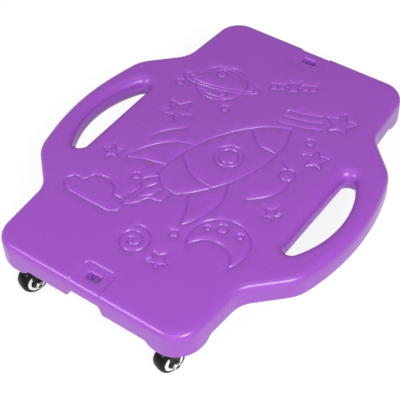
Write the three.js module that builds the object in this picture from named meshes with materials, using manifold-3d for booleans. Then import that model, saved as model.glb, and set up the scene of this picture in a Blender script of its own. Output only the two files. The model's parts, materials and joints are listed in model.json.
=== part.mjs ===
// Sitting scooter board: a hollow moulded deck with two hand slots, on four small swivel casters.
// Units are millimetres. X runs across the board, Y along it and +Z up; the floor under the wheels is z = 0.
import * as THREE from "three";
import { mergeVertices } from "three/addons/utils/BufferGeometryUtils.js";
import Module from "manifold-3d";

const wasm = await Module();
wasm.setup();

const { sin, cos, PI, sqrt, atan2, tan, max, min, abs } = Math;
const radians = THREE.MathUtils.degToRad;

// Deck body
const DECK_TOP = 108;
const HALF_LENGTH = 280;
const END_HALF_WIDTH = 155.5;
const END_CORNER = 36.5;
const NECK = { x: 163, y: 167.5, radius: 40 };
const FLANK_ANGLE = radians(45.5);
const SHOULDER_RADIUS = 60;
const WING_HALF_WIDTH = 237;
const WING_RADIUS = 337;
const SKIRT_DEPTH = 37.5;
const WALL = 3;
const EDGE_ROUND = 9.5;
const GRIP_ROUND = 13;
const GRIP_REACH = { full: 70, none: 125 };
const BOTTOM_ROUND = 7;
const HOLLOW_ROUND_LEAST = 3;

// Hand slots: a straight inner side and a bowed outer side, with soft rims above and below
const SLOT = { inner: 168, outer: 208, bow: 148, corner: 10, rim: 17 };

// Linking tab at each end: a shallow recess on top, a latch slot through it and a notch under it
const TAB = { halfWidth: 25, reach: 43.5, depth: 1.6, corner: 9 };
const NOTCH = { halfWidth: 27.5, reach: 43.5, height: 16.5, corner: 6 };
const LATCH = { halfLength: 11.5, halfWidth: 5.6, corner: 4, fromEnd: 24.5 };

// Corner bosses that carry the casters
const BOSS = { x: 116, y: 239, radius: 38, depth: 50.5, round: 11.5, intoSkirt: 9 };
const SCREW_POST = { radius: 5, height: 17, pilot: 2.5, pilotDepth: 14.5 };
const RIVET_POST = { radius: 10.5, height: 7, recess: 7.2, recessDepth: 3.6 };

// Tack-off ribs pressed up from the underside, and the moulding vent
const RIB = { x: 52, from: 42, to: 178, halfWidth: 9, gapToTop: 6.5 };
const VENT_RADIUS = 3;

// Casters
const TRAIL = 14.8;
const CASTER_TURN = radians(-17);
const WHEEL_SIDES = 24;
const WHEEL_RADIUS = 20.9;
const AXLE_Z = WHEEL_RADIUS * cos(PI / WHEEL_SIDES);
const GAP = 0.3;
const TYRE = { halfWidth: 11, bore: 14.3 };
const TREAD = [[-1, 0.78], [-0.62, 0.95], [0, 1], [0.62, 0.95], [1, 0.78]];
const CORE = { halfWidth: 10.7, radius: 14, rim: 10.6, web: 5, hub: 6.8, hubHalf: 9, bore: 3.4 };
const GUARD = { radius: 10.3, inner: 3.6, from: 9.3, face: 10.7, collar: 5.8, to: 12 };
const AXLE_RADIUS = 3;
const FORK = {
  armInside: 12.3, armOutside: 14.6, endRadius: 7, hole: 3.3,
  crownTop: 51, crownBottom: 48.6, crownRadius: 15.5, backEdge: 10, frontEdge: -21.8, bridgeBack: 6, corner: 3,
  lean: radians(20),
};
const AXLE_HEAD = { radius: 5.2, thickness: 3.2 };
const NUT = { radius: 5.4, thickness: 5, dome: 1.6, bore: 3.25, beyondAxle: 1.2 };
const AXLE_END = FORK.armOutside + GAP + NUT.thickness - NUT.beyondAxle;
const PLATE = { halfX: 19, halfY: 16.5, corner: 4, thickness: 2.5, hole: 3.3 };
const SCREW = { x: 14, y: 11.5, shank: 1.9, length: 14, point: 3, head: 3.8, headHeight: 2.2, hole: 2.5 };
const RIVET = { shank: 3, head: 6.2, topHead: 2.6, bottomHead: 2.2 };
const HEAD_SLOPE = 1.2;
const RACE = { inner: 5.2, outer: 12.6, edge: 0.8, middle: 1.4 };

// Facets on the round pieces, and steps in the deck's rounded edges
const ROUND_SIDES = 16;
const BOSS_SIDES = 24;
const SMALL_SIDES = 12;
const SCREW_SIDES = 6;
const OUTSIDE_STEPS = 3;
const HOLLOW_STEPS = 1;

// How far a cutter runs past the surface it opens
const PAST = 5;
const PAST_END = 20;

const BOSS_BOTTOM = DECK_TOP - BOSS.depth;
const SKIRT_BOTTOM = DECK_TOP - SKIRT_DEPTH;
const PLATE_TOP = BOSS_BOTTOM - GAP;
const PLATE_BOTTOM = PLATE_TOP - PLATE.thickness;

function manifoldOf(positions, indices) {
  const geometry = new THREE.BufferGeometry();
  geometry.setAttribute("position", new THREE.Float32BufferAttribute(positions, 3));
  geometry.setIndex(indices);
  return solid(geometry);
}

// A closed three.js geometry as a solid that can be cut and joined.
function solid(geometry) {
  geometry.deleteAttribute("normal");
  geometry.deleteAttribute("uv");
  const merged = mergeVertices(geometry, 1e-4);
  return new wasm.Manifold(
    new wasm.Mesh({
      numProp: 3,
      vertProperties: merged.attributes.position.array,
      triVerts: new Uint32Array(merged.index.array),
    }),
  );
}

function join(solids) {
  return solids.reduce((sum, next) => sum.add(next));
}

// A closed body through rings of points, lowest ring first, each ring counter-clockwise from above.
function loft(rings) {
  const count = rings[0].length;
  const positions = rings.flat().flatMap((p) => [p.x, p.y, p.z]);
  const indices = [];
  for (let level = 0; level + 1 < rings.length; level++) {
    for (let i = 0; i < count; i++) {
      const next = (i + 1) % count;
      const a = level * count + i;
      const b = level * count + next;
      indices.push(a, b, b + count, a, b + count, a + count);
    }
  }
  const cap = (ring, offset, up) => {
    const flat = ring.map((p) => new THREE.Vector2(p.x, p.y));
    for (const [i, j, k] of THREE.ShapeUtils.triangulateShape(flat, [])) {
      const turn = (flat[j].x - flat[i].x) * (flat[k].y - flat[i].y)
        - (flat[k].x - flat[i].x) * (flat[j].y - flat[i].y);
      const face = turn > 0 === up ? [i, j, k] : [i, k, j];
      indices.push(...face.map((n) => n + offset));
    }
  };
  cap(rings[0], 0, false);
  cap(rings.at(-1), (rings.length - 1) * count, true);
  return manifoldOf(positions, indices);
}

// Points of a rounded bend, each with the outline's outward direction; a negative radius bends inwards.
function bend(cx, cy, radius, from, to, steps) {
  return Array.from({ length: steps + 1 }, (_, i) => {
    const angle = from + ((to - from) * i) / steps;
    const nx = cos(angle);
    const ny = sin(angle);
    return { x: cx + radius * nx, y: cy + radius * ny, nx, ny };
  });
}

// Centre of the bend that rounds a corner between two straight sides, given their outward angles.
function bendCentre(corner, radius, from, to) {
  const tangent = radius * tan((to - from) / 2);
  const along = from + PI / 2;
  return {
    x: corner.x - tangent * cos(along) - radius * cos(from),
    y: corner.y - tangent * sin(along) - radius * sin(from),
  };
}

// The deck's outline, counter-clockwise: wing, shoulder, neck and end corner, mirrored into four quarters.
function deckOutline() {
  const sideAngle = atan2(NECK.x - END_HALF_WIDTH, HALF_LENGTH - NECK.y);
  const flank = { nx: cos(FLANK_ANGLE), ny: sin(FLANK_ANGLE), dx: -sin(FLANK_ANGLE), dy: cos(FLANK_ANGLE) };
  const wingCentre = WING_HALF_WIDTH - WING_RADIUS;
  const start = {
    x: NECK.x - SHOULDER_RADIUS * flank.nx - wingCentre,
    y: NECK.y - SHOULDER_RADIUS * flank.ny,
  };
  const along = start.x * flank.dx + start.y * flank.dy;
  const rest = start.x ** 2 + start.y ** 2 - (WING_RADIUS - SHOULDER_RADIUS) ** 2;
  const reach = -along - sqrt(along ** 2 - rest);
  const shoulder = { x: start.x + wingCentre + reach * flank.dx, y: start.y + reach * flank.dy };
  const shoulderAngle = atan2(shoulder.y, shoulder.x - wingCentre);
  const neck = bendCentre(NECK, -NECK.radius, FLANK_ANGLE, sideAngle);
  const end = bendCentre({ x: END_HALF_WIDTH, y: HALF_LENGTH }, END_CORNER, sideAngle, PI / 2);
  const quarter = [
    ...bend(wingCentre, 0, WING_RADIUS, 0, shoulderAngle, 5),
    ...bend(shoulder.x, shoulder.y, SHOULDER_RADIUS, shoulderAngle, FLANK_ANGLE, 3).slice(1),
    ...bend(neck.x, neck.y, -NECK.radius, FLANK_ANGLE, sideAngle, 4),
    ...bend(end.x, end.y, END_CORNER, sideAngle, PI / 2, 6),
  ];
  const mirror = (points, sx, sy) =>
    points.map((p) => ({ x: sx * p.x, y: sy * p.y, nx: sx * p.nx, ny: sy * p.ny }));
  const right = quarter;
  const left = mirror([...quarter].reverse(), -1, 1);
  return [
    ...right,
    ...left.slice(0, -1),
    ...mirror(quarter, -1, -1),
    ...mirror([...quarter].reverse(), 1, -1).slice(0, -1),
  ];
}

// The slot's narrowest outline on the +X side, counter-clockwise, with directions out of the slot.
function slotOutline() {
  const centre = SLOT.outer - SLOT.bow;
  const cornerX = SLOT.inner + SLOT.corner;
  const cornerY = sqrt((SLOT.bow - SLOT.corner) ** 2 - (cornerX - centre) ** 2);
  const angle = atan2(cornerY, cornerX - centre);
  return [
    ...bend(centre, 0, SLOT.bow, -angle, angle, 10),
    ...bend(cornerX, cornerY, SLOT.corner, angle, PI, 4).slice(1),
    ...bend(cornerX, -cornerY, SLOT.corner, PI, 2 * PI - angle, 4).slice(0, -1),
  ];
}

function moved(outline, by, z) {
  return outline.map((p, i) => ({
    x: p.x + p.nx * (typeof by === "function" ? by(p, i) : by),
    y: p.y + p.ny * (typeof by === "function" ? by(p, i) : by),
    z: typeof z === "function" ? z(p, i) : z,
  }));
}

function topRound(point) {
  const t = min(max((GRIP_REACH.none - abs(point.y)) / (GRIP_REACH.none - GRIP_REACH.full), 0), 1);
  return EDGE_ROUND + (GRIP_ROUND - EDGE_ROUND) * t * t * (3 - 2 * t);
}

// The deck's outside without its openings, or its hollow when inset by the wall.
function deckShell(outline, inset, bottom, steps) {
  const rings = [];
  const lower = max(BOTTOM_ROUND - inset, HOLLOW_ROUND_LEAST);
  const lowerSteps = max(steps - 1, 1);
  for (let i = 0; i <= lowerSteps; i++) {
    const angle = (PI / 2) * (1 - i / lowerSteps);
    const height = bottom + inset + lower * (1 - sin(angle));
    rings.push(moved(outline, -inset - lower * (1 - cos(angle)), height));
  }
  for (let i = 0; i <= steps; i++) {
    const angle = ((PI / 2) * i) / steps;
    const round = (p) => max(topRound(p) - inset, HOLLOW_ROUND_LEAST);
    rings.push(moved(
      outline,
      (p) => -inset - round(p) * (1 - cos(angle)),
      (p) => DECK_TOP - inset - round(p) * (1 - sin(angle)),
    ));
  }
  return loft(rings);
}

// What a hand slot takes away: flared above and below, and grown by the wall when it shapes the hollow.
function slotCutter(outline, wall, steps) {
  const round = SLOT.rim - wall;
  const rings = [moved(outline, SLOT.rim, SKIRT_BOTTOM - PAST)];
  for (let i = 0; i <= steps; i++) {
    const angle = (PI / 2) * (1 - i / steps);
    const height = SKIRT_BOTTOM + wall + round * (1 - sin(angle));
    rings.push(moved(outline, wall + round * (1 - cos(angle)), height));
  }
  for (let i = 0; i <= steps; i++) {
    const angle = ((PI / 2) * i) / steps;
    const height = DECK_TOP - wall - round * (1 - sin(angle));
    rings.push(moved(outline, wall + round * (1 - cos(angle)), height));
  }
  rings.push(moved(outline, SLOT.rim, DECK_TOP + PAST));
  return loft(rings);
}

function roundedBox(x0, x1, y0, y1, z0, z1, radius, steps = 3) {
  const corners = [
    [x1 - radius, y1 - radius, 0], [x0 + radius, y1 - radius, PI / 2],
    [x0 + radius, y0 + radius, PI], [x1 - radius, y0 + radius, 1.5 * PI],
  ];
  const outline = corners.flatMap(([x, y, from]) => bend(x, y, radius, from, from + PI / 2, steps));
  return loft([moved(outline, 0, z0), moved(outline, 0, z1)]);
}

// A solid of revolution about Z through [radius, z] points listed upwards; a ring's profile is closed.
function turned(profile, sides, phase = 0) {
  const points = profile.map(([radius, z]) => new THREE.Vector2(radius, z));
  const geometry = new THREE.LatheGeometry(points, sides);
  geometry.rotateY(phase);
  geometry.rotateX(PI / 2);
  return solid(geometry);
}

function post(x, y, radius, z0, z1, sides = SMALL_SIDES) {
  return turned([[0, z0], [radius, z0], [radius, z1], [0, z1]], sides).translate(x, y, 0);
}

// The same openings cut the outside and, grown by the wall, keep the hollow clear of them.
function endCutters(side, wall) {
  const span = (half, reach, z0, z1, corner) => {
    const inner = HALF_LENGTH - reach - wall;
    const outer = HALF_LENGTH + PAST_END;
    const [y0, y1] = side > 0 ? [inner, outer] : [-outer, -inner];
    return roundedBox(-half - wall, half + wall, y0, y1, z0, z1, corner + wall);
  };
  const recess = span(TAB.halfWidth, TAB.reach, DECK_TOP - TAB.depth - wall, DECK_TOP + PAST, TAB.corner);
  const notchTop = SKIRT_BOTTOM + NOTCH.height;
  const notch = span(NOTCH.halfWidth, NOTCH.reach, SKIRT_BOTTOM - PAST, notchTop + wall, NOTCH.corner);
  const y = side * (HALF_LENGTH - LATCH.fromEnd);
  const halfX = LATCH.halfLength + wall;
  const halfY = LATCH.halfWidth + wall;
  const latch = roundedBox(
    -halfX, halfX, y - halfY, y + halfY, SKIRT_BOTTOM, DECK_TOP + PAST, LATCH.corner + wall,
  );
  return [recess, notch, latch];
}

function bossDisc(x, y, inset) {
  const round = BOSS.round - inset / 2;
  const bottom = BOSS_BOTTOM + inset;
  const radius = BOSS.radius - inset;
  const top = SKIRT_BOTTOM + BOSS.intoSkirt - inset / 2;
  const profile = [[0, bottom]];
  const steps = 2;
  for (let i = 0; i <= steps; i++) {
    const angle = ((PI / 2) * i) / steps;
    profile.push([radius - round + round * sin(angle), bottom + round - round * cos(angle)]);
  }
  profile.push([radius, top], [0, top]);
  return turned(profile, BOSS_SIDES).translate(x, y, 0);
}

function ribCutters(wall) {
  return [-1, 1].flatMap((sx) => [-1, 1].map((sy) => {
    const [y0, y1] = sy > 0 ? [RIB.from, RIB.to] : [-RIB.to, -RIB.from];
    const half = RIB.halfWidth + wall;
    const top = DECK_TOP - RIB.gapToTop + wall;
    return roundedBox(
      sx * RIB.x - half, sx * RIB.x + half, y0 - wall, y1 + wall, SKIRT_BOTTOM - PAST, top, half, 2,
    );
  }));
}

const CORNERS = [
  { name: "front_left", sx: -1, sy: -1 },
  { name: "front_right", sx: 1, sy: -1 },
  { name: "rear_left", sx: -1, sy: 1 },
  { name: "rear_right", sx: 1, sy: 1 },
];

// The deck's volume out to its surface, or its hollow when the wall is given.
function deckVolume(wall, steps) {
  const outline = deckOutline();
  const slot = slotOutline();
  const main = deckShell(outline, wall, SKIRT_BOTTOM, steps);
  const deep = deckShell(outline, wall, BOSS_BOTTOM, steps);
  const discs = join(CORNERS.map(({ sx, sy }) => bossDisc(sx * BOSS.x, sy * BOSS.y, wall)));
  const right = slotCutter(slot, wall, steps);
  const left = right.mirror([1, 0, 0]);
  const openings = [right, left, ...endCutters(1, wall), ...endCutters(-1, wall), ...ribCutters(wall)];
  return main.add(deep.intersect(discs)).subtract(join(openings));
}

function screwPlaces(sx, sy) {
  return [-1, 1].flatMap((i) => [-1, 1].map((j) => [sx * BOSS.x + i * SCREW.x, sy * BOSS.y + j * SCREW.y]));
}

function deck() {
  const posts = [];
  const holes = [post(0, 0, VENT_RADIUS, SKIRT_BOTTOM - PAST, SKIRT_BOTTOM + WALL + PAST)];
  const low = BOSS_BOTTOM - PAST;
  for (const { sx, sy } of CORNERS) {
    const [cx, cy] = [sx * BOSS.x, sy * BOSS.y];
    posts.push(post(cx, cy, RIVET_POST.radius, BOSS_BOTTOM, BOSS_BOTTOM + RIVET_POST.height));
    holes.push(post(cx, cy, RIVET_POST.recess, low, BOSS_BOTTOM + RIVET_POST.recessDepth));
    for (const [x, y] of screwPlaces(sx, sy)) {
      const { radius, height, pilot, pilotDepth } = SCREW_POST;
      posts.push(post(x, y, radius, BOSS_BOTTOM, BOSS_BOTTOM + height, SCREW_SIDES));
      holes.push(post(x, y, pilot, low, BOSS_BOTTOM + pilotDepth, SCREW_SIDES));
    }
  }
  const hollow = deckVolume(WALL, HOLLOW_STEPS);
  return deckVolume(0, OUTSIDE_STEPS).subtract(hollow).add(join(posts)).subtract(join(holes));
}

function geometryOf(body) {
  const { vertProperties, triVerts } = body.getMesh();
  const geometry = new THREE.BufferGeometry();
  geometry.setAttribute("position", new THREE.BufferAttribute(vertProperties, 3));
  geometry.setIndex(new THREE.BufferAttribute(triVerts, 1));
  const flat = geometry.toNonIndexed();
  flat.computeVertexNormals();
  return flat;
}

function finish(color, roughness, metalness) {
  return new THREE.MeshStandardMaterial({ color, roughness, metalness });
}

const purplePlastic = finish(0x9c51bf, 0.35, 0);
const blackSteel = finish(0x17171a, 0.4, 0.3);
const brightSteel = finish(0xc9cbcf, 0.25, 0.9);
const blackTyre = finish(0x121214, 0.3, 0);
const whitePlastic = finish(0xf2f2f0, 0.4, 0);
const blackPlastic = finish(0x141416, 0.45, 0);

function named(name, body, material) {
  const mesh = new THREE.Mesh(geometryOf(body), material);
  mesh.name = name;
  return mesh;
}

// Wheel pieces are turned about Z, then laid along the axle, X, with a flat facet of the tread below.
function onAxle(body) {
  return body.rotate(0, 90, 0).translate(0, -TRAIL, AXLE_Z);
}

const FACET_DOWN = PI / WHEEL_SIDES;

function tyre() {
  const { halfWidth, bore } = TYRE;
  const tread = TREAD.map(([along, out]) => [WHEEL_RADIUS * out, halfWidth * along]);
  const profile = [[bore, -halfWidth], ...tread, [bore, halfWidth], [bore, -halfWidth]];
  return onAxle(turned(profile, WHEEL_SIDES, FACET_DOWN));
}

function wheelCore() {
  const { halfWidth, radius, rim, web, hub, hubHalf, bore } = CORE;
  const profile = [
    [bore, -hubHalf], [hub, -hubHalf], [hub, -web], [rim, -web], [rim, -halfWidth], [radius, -halfWidth],
    [radius, halfWidth], [rim, halfWidth], [rim, web], [hub, web], [hub, hubHalf],
    [bore, hubHalf], [bore, -hubHalf],
  ];
  return onAxle(turned(profile, ROUND_SIDES));
}

function threadGuard(side) {
  const { radius, inner, from, face, collar, to } = GUARD;
  const profile = [
    [inner, from], [radius, from], [radius, face], [collar, face], [collar, to], [inner, to], [inner, from],
  ];
  const body = turned(profile, ROUND_SIDES);
  return onAxle(side > 0 ? body : body.rotate(180, 0, 0));
}

// One fork arm, drawn in the plane of the wheel: a crown edge above that tapers to a round axle end.
function forkArm(side) {
  const { frontEdge, backEdge, crownTop, endRadius, armInside, armOutside, lean } = FORK;
  const shape = new THREE.Shape();
  shape.moveTo(backEdge, crownTop);
  shape.lineTo(frontEdge, crownTop);
  shape.absarc(-TRAIL, AXLE_Z, endRadius, PI, 2 * PI + lean, false);
  const geometry = new THREE.ExtrudeGeometry(shape, {
    depth: armOutside - armInside, bevelEnabled: false, curveSegments: 6,
  });
  geometry.rotateX(PI / 2);
  geometry.rotateZ(PI / 2);
  return solid(geometry).translate(side > 0 ? armInside : -armOutside, 0, 0);
}

function fork() {
  const { armOutside, crownTop, crownBottom, crownRadius, frontEdge, bridgeBack, corner, hole } = FORK;
  const disc = post(0, 0, crownRadius, crownBottom, crownTop, ROUND_SIDES);
  const bridge = roundedBox(-armOutside, armOutside, frontEdge, bridgeBack, crownBottom, crownTop, corner, 2);
  const bore = post(0, 0, RIVET.shank + GAP, crownBottom - PAST, crownTop + PAST);
  const axleHole = post(0, 0, hole, -armOutside - PAST, armOutside + PAST);
  return join([disc, bridge, forkArm(-1), forkArm(1)]).subtract(bore).subtract(onAxle(axleHole));
}

function axleBolt() {
  const head = -FORK.armOutside - GAP;
  const { radius, thickness } = AXLE_HEAD;
  const profile = [
    [0, head - thickness], [radius - HEAD_SLOPE, head - thickness], [radius, head - HEAD_SLOPE],
    [radius, head], [AXLE_RADIUS, head], [AXLE_RADIUS, AXLE_END], [0, AXLE_END],
  ];
  return onAxle(turned(profile, SMALL_SIDES));
}

function axleNut() {
  const { radius, thickness, dome, bore } = NUT;
  const from = FORK.armOutside + GAP;
  const to = from + thickness;
  const profile = [[0, from], [radius, from], [radius, to - dome], [radius - dome, to], [0, to]];
  return onAxle(turned(profile, 6).subtract(post(0, 0, bore, from - PAST, to + PAST)));
}

function mountingPlate() {
  const { halfX, halfY, corner, hole } = PLATE;
  const plate = roundedBox(-halfX, halfX, -halfY, halfY, PLATE_BOTTOM, PLATE_TOP, corner, 2);
  const low = PLATE_BOTTOM - PAST;
  const high = PLATE_TOP + PAST;
  const holes = [post(0, 0, hole, low, high)];
  for (const i of [-1, 1]) {
    for (const j of [-1, 1]) {
      holes.push(post(i * SCREW.x, j * SCREW.y, SCREW.hole, low, high, SCREW_SIDES));
    }
  }
  return plate.subtract(join(holes));
}

function mountingScrew(i, j) {
  const top = PLATE_BOTTOM - GAP;
  const { shank, length, point, head, headHeight } = SCREW;
  const profile = [
    [0, top - headHeight], [head - HEAD_SLOPE, top - headHeight], [head, top], [shank, top],
    [shank, top + length - point], [0, top + length],
  ];
  return turned(profile, SCREW_SIDES).translate(i * SCREW.x, j * SCREW.y, 0);
}

function kingpin() {
  const { shank, head, topHead, bottomHead } = RIVET;
  const low = FORK.crownBottom - GAP;
  const high = PLATE_TOP + GAP;
  const profile = [
    [0, low - bottomHead], [head - HEAD_SLOPE, low - bottomHead], [head, low], [shank, low],
    [shank, high], [head, high], [head - HEAD_SLOPE, high + topHead], [0, high + topHead],
  ];
  return turned(profile, SMALL_SIDES);
}

// The ball race, a ring that bears between the plate and the fork's crown.
function ballRace() {
  const { inner, outer, edge, middle } = RACE;
  const centre = (inner + outer) / 2;
  const profile = [
    [inner, -edge], [centre, -middle], [outer, -edge],
    [outer, edge], [centre, middle], [inner, edge], [inner, -edge],
  ];
  return turned(profile, ROUND_SIDES).translate(0, 0, (FORK.crownTop + PLATE_BOTTOM) / 2);
}

const board = new THREE.Group();
board.add(named("deck", deck(), purplePlastic));

// The mounting plate, its screws and the kingpin stand still under the boss; the rest turns with the fork.
for (const { name, sx, sy } of CORNERS) {
  const fixed = new THREE.Group();
  fixed.position.set(sx * BOSS.x, sy * BOSS.y, 0);
  fixed.add(named(`${name}_mounting_plate`, mountingPlate(), blackSteel));
  fixed.add(named(`${name}_kingpin`, kingpin(), brightSteel));
  let number = 1;
  for (const i of [-1, 1]) {
    for (const j of [-1, 1]) {
      fixed.add(named(`${name}_screw_${number}`, mountingScrew(i, j), brightSteel));
      number += 1;
    }
  }
  const caster = new THREE.Group();
  caster.position.copy(fixed.position);
  caster.rotation.z = CASTER_TURN;
  caster.add(named(`${name}_ball_race`, ballRace(), brightSteel));
  caster.add(named(`${name}_fork`, fork(), blackSteel));
  caster.add(named(`${name}_axle_bolt`, axleBolt(), blackSteel));
  caster.add(named(`${name}_axle_nut`, axleNut(), brightSteel));
  caster.add(named(`${name}_tyre`, tyre(), blackTyre));
  caster.add(named(`${name}_wheel_core`, wheelCore(), whitePlastic));
  caster.add(named(`${name}_inner_thread_guard`, threadGuard(-1), blackPlastic));
  caster.add(named(`${name}_outer_thread_guard`, threadGuard(1), blackPlastic));
  board.add(fixed, caster);
}

export default board;
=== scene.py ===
# The looks of a sitting scooter board: one hollow moulded deck on four small swivel casters.
# Shapes are written in millimetres, in the frame's own axes, and become metres when a mesh is made.
import json
import math

import bmesh
import bpy
import numpy as np
from mathutils import Matrix, Vector
from mathutils.geometry import delaunay_2d_cdt
from mathutils.kdtree import KDTree

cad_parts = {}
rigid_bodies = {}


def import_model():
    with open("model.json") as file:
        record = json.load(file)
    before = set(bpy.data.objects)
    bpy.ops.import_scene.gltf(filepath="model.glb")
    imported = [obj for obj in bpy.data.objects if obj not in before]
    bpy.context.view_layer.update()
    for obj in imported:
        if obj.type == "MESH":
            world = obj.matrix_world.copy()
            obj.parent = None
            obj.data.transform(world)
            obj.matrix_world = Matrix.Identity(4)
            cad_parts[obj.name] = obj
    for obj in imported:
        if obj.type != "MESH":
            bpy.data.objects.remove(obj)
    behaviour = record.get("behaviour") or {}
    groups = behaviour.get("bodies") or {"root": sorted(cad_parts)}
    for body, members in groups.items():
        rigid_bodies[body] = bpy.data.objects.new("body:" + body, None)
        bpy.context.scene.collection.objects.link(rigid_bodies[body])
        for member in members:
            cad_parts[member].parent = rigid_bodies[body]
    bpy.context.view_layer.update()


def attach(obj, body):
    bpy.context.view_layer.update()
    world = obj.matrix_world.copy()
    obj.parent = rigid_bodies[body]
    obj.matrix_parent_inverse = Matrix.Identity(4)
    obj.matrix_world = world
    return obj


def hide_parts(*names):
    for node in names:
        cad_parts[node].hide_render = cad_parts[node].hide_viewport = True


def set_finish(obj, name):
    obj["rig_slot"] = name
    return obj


for left_over in list(bpy.data.objects):
    bpy.data.objects.remove(left_over)
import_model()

MM = 0.001

# Deck outline, seen from above
DECK_TOP = 108.0
HALF_LENGTH = 280.0
END_HALF_WIDTH = 155.5
END_CORNER = 36.5
NECK_X, NECK_Y, NECK_RADIUS = 163.0, 167.5, 40.0
FLANK_ANGLE = math.radians(45.5)
SHOULDER_RADIUS = 60.0
WING_HALF_WIDTH = 237.0
WING_RADIUS = 337.0
SKIRT_DEPTH = 37.5
EDGE_ROUND = 9.5
GRIP_ROUND = 13.0
GRIP_FULL, GRIP_NONE = 70.0, 125.0
BOTTOM_ROUND = 6.8
OUTLINE_STEP = 3.6
NECK_STEP, CORNER_STEP = 0.7 * OUTLINE_STEP, 0.6 * OUTLINE_STEP
END_FILL = (0.0, 8.0, 14.0, *np.arange(36, 100, 4.5))
MARK_GAP = 0.2
SKIRT_BOTTOM = DECK_TOP - SKIRT_DEPTH
WALL_SHARES = (0.33, 0.67)
TOP_ROUND_RINGS, LOW_ROUND_RINGS = 11, 9

# Hand slots
SLOT_INNER, SLOT_OUTER, SLOT_BOW, SLOT_CORNER = 168.0, 208.0, 148.0, 10.0
SLOT_RIM_INNER, SLOT_RIM_OUTER, SLOT_RIM_DEPTH = 17.0, 14.0, 17.0
GRIP_RIM, GRIP_RIM_DEPTH = 15.2, 12.0
SLOT_STEP, SLOT_CORNER_STEP = 3.2, 1.6
TOP_RIM_RINGS, LOW_RIM_RINGS = 13, 11
BEAD_HEIGHT, BEAD_REACH = 0.8, 0.4
BEAD_SECTION = ((1.0, 0.0), (0.6, 0.75), (0.2, 1.0), (-0.2, 1.0), (-0.6, 0.75), (-1.0, 0.0))

# Linking tabs: recess on top, latch slot through the tongue, notch under it
# A box is (centre x, centre y, half x, half y, corner radius).
# An edge is (distance outside, height or depth) pairs, from outside to inside.
TAB_HALF_WIDTH, TAB_REACH, TAB_DEPTH, TAB_CORNER = 25.0, 43.5, 1.6, 9.0
TAB_BOX = (0.0, 1.5 * HALF_LENGTH - TAB_REACH, TAB_HALF_WIDTH, HALF_LENGTH / 2, TAB_CORNER)
TAB_EDGE = (
    (0.9, 0.0), (0.45, 0.12), (0.0, 0.45), (-0.4, 0.85), (-0.8, 1.25), (-1.25, 1.52), (-1.8, TAB_DEPTH),
)
SET_BACK_SHARE = 0.3
LATCH_HALF_X, LATCH_HALF_Y, LATCH_CORNER, LATCH_FROM_END = 10.2, 4.8, 2.4, 24.5
LATCH_ROUND, LATCH_DRAFT, LATCH_STEP = 3.2, 1.4, 1.5
LATCH_ANGLES, LATCH_SHARES = np.radians([90, 67, 45, 22, 0]), (0.35, 0.65, 1.0)
NOTCH_HALF_WIDTH, NOTCH_REACH, NOTCH_CORNER, NOTCH_HEIGHT = 30.0, 45.5, 7.0, 16.5
NOTCH_BOX = (0.0, 1.5 * HALF_LENGTH - NOTCH_REACH, NOTCH_HALF_WIDTH, HALF_LENGTH / 2, NOTCH_CORNER)
NOTCH_EDGE = (
    (3.6, 0.0), (2.0, 0.3), (0.8, 1.0), (-0.2, 2.2), (-1.0, 4.5), (-2.0, 8.5), (-3.0, 12.0), (-4.0, 14.5),
    (-5.2, 16.0), (-6.8, NOTCH_HEIGHT),
)
NOTCH_ROUND, NOTCH_ROUND_FROM, NOTCH_ROUND_OVER = 3.0, 35.0, 9.0

# Corner bosses and what is moulded into them
BOSS_X, BOSS_Y, BOSS_RADIUS, BOSS_DEPTH, BOSS_ROUND = 116.0, 239.0, 38.0, 50.5, 11.5
BOSS_BOTTOM = DECK_TOP - BOSS_DEPTH
BOSS_FILLET = 2.2
RIVET_RECESS, RIVET_RECESS_DEPTH = 7.2, 3.6
RECESS_EDGE = ((0.3, 0.0), (0.0, 0.2), (-0.15, 3.3), (-0.5, RIVET_RECESS_DEPTH))
PILOT_RADIUS, PILOT_DEPTH = 2.5, 14.5
PILOT_EDGE = ((0.3, 0.0), (0.0, 0.3), (-0.1, PILOT_DEPTH - 0.6), (-0.8, PILOT_DEPTH))
SCREW_X, SCREW_Y = 14.0, 11.5

# Ribs pressed up from below, and the vent
RIB_X, RIB_FROM, RIB_TO, RIB_HALF_WIDTH, RIB_HEIGHT = 52.0, 42.0, 178.0, 9.0, 31.0
RIB_BOX = (RIB_X, (RIB_FROM + RIB_TO) / 2, RIB_HALF_WIDTH, (RIB_TO - RIB_FROM) / 2, RIB_HALF_WIDTH)
RIB_EDGE = (
    (2.6, 0.0), (1.2, 0.2), (0.3, 0.9), (-0.2, 2.4), (-2.2, 26.6), (-3.1, 29.4), (-4.4, 30.7),
    (-6.0, RIB_HEIGHT),
)
VENT_RADIUS, VENT_DEPTH = 3.0, 12.0
VENT_EDGE = ((0.5, 0.0), (0.15, 0.15), (0.0, 0.5), (-0.1, VENT_DEPTH - 0.5), (-0.8, VENT_DEPTH))

# Engraved picture lines, their section in pairs of (distance from the middle, depth)
GROOVE_SECTION = (
    (0.0, 1.75), (0.25, 1.68), (0.5, 1.47), (0.95, 0.97), (1.4, 0.48), (1.75, 0.14), (2.15, 0.0),
)
GROOVE_ROWS = (0.0, 0.5, 0.95, 1.4, 2.1)
GROOVE_STEP, GROOVE_SPACING, GROOVE_TOLERANCE = 1.4, 0.3, 0.2
CURVE_POINTS, OVAL_POINTS = 24, 160
STAR_INNER, STAR_TIP, STAR_NOTCH = 0.48, 0.16, 0.1

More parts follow.
